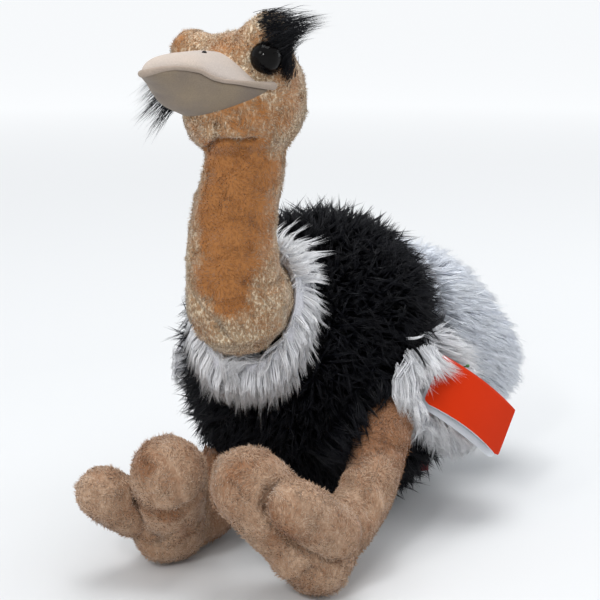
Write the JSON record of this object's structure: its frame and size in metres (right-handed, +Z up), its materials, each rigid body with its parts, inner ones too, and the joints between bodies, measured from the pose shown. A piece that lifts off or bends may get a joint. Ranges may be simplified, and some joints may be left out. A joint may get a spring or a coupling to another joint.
{
  "type": "plush ostrich toy",
  "caption": "Stuffed plush ostrich sitting with its long legs out in front, shaggy black trunk, white ruff and tail, tan neck and head, soft bill and a bare hang tag.",
  "frame": {"origin": "middle of the toy's outline on the floor that it sits on", "axes": "+Z up; the toy faces -Y, with the feet at that end and the tail at +Y; its own left side is +X"},
  "size_m": [0.2136, 0.3196, 0.3009],
  "materials": {
    "black_fur": "shaggy long pile, soft sheen",
    "white_fur": "shaggy long pile",
    "tan_plush": "short crushed pile",
    "foot_plush": "short crushed pile",
    "bill_cloth": "smooth short nap",
    "eye_plastic": "polished",
    "tag_card": "coated, satin",
    "tie_plastic": "satin",
    "label_cloth": "woven tape"
  },
  "bodies": {
    "root": {"body": "black_fur", "neck": "tan_plush", "ruff": "white_fur", "head": "tan_plush", "bill_upper": "bill_cloth", "bill_lower": "bill_cloth", "eye_left": "eye_plastic", "eye_right": "eye_plastic", "lash_left": "black_fur", "lash_right": "black_fur", "wing_left": "black_fur", "wing_right": "black_fur", "plume_left": "white_fur", "plume_right": "white_fur", "leg_left": "tan_plush", "leg_right": "tan_plush", "sole_left": "foot_plush", "sole_right": "foot_plush", "toe_inner_left": "foot_plush", "toe_inner_right": "foot_plush", "toe_outer_left": "foot_plush", "toe_outer_right": "foot_plush", "tail": "white_fur", "hang_tag": "tag_card", "tag_tie": "tie_plastic", "side_label": "label_cloth"}
  },
  "joints": []
}
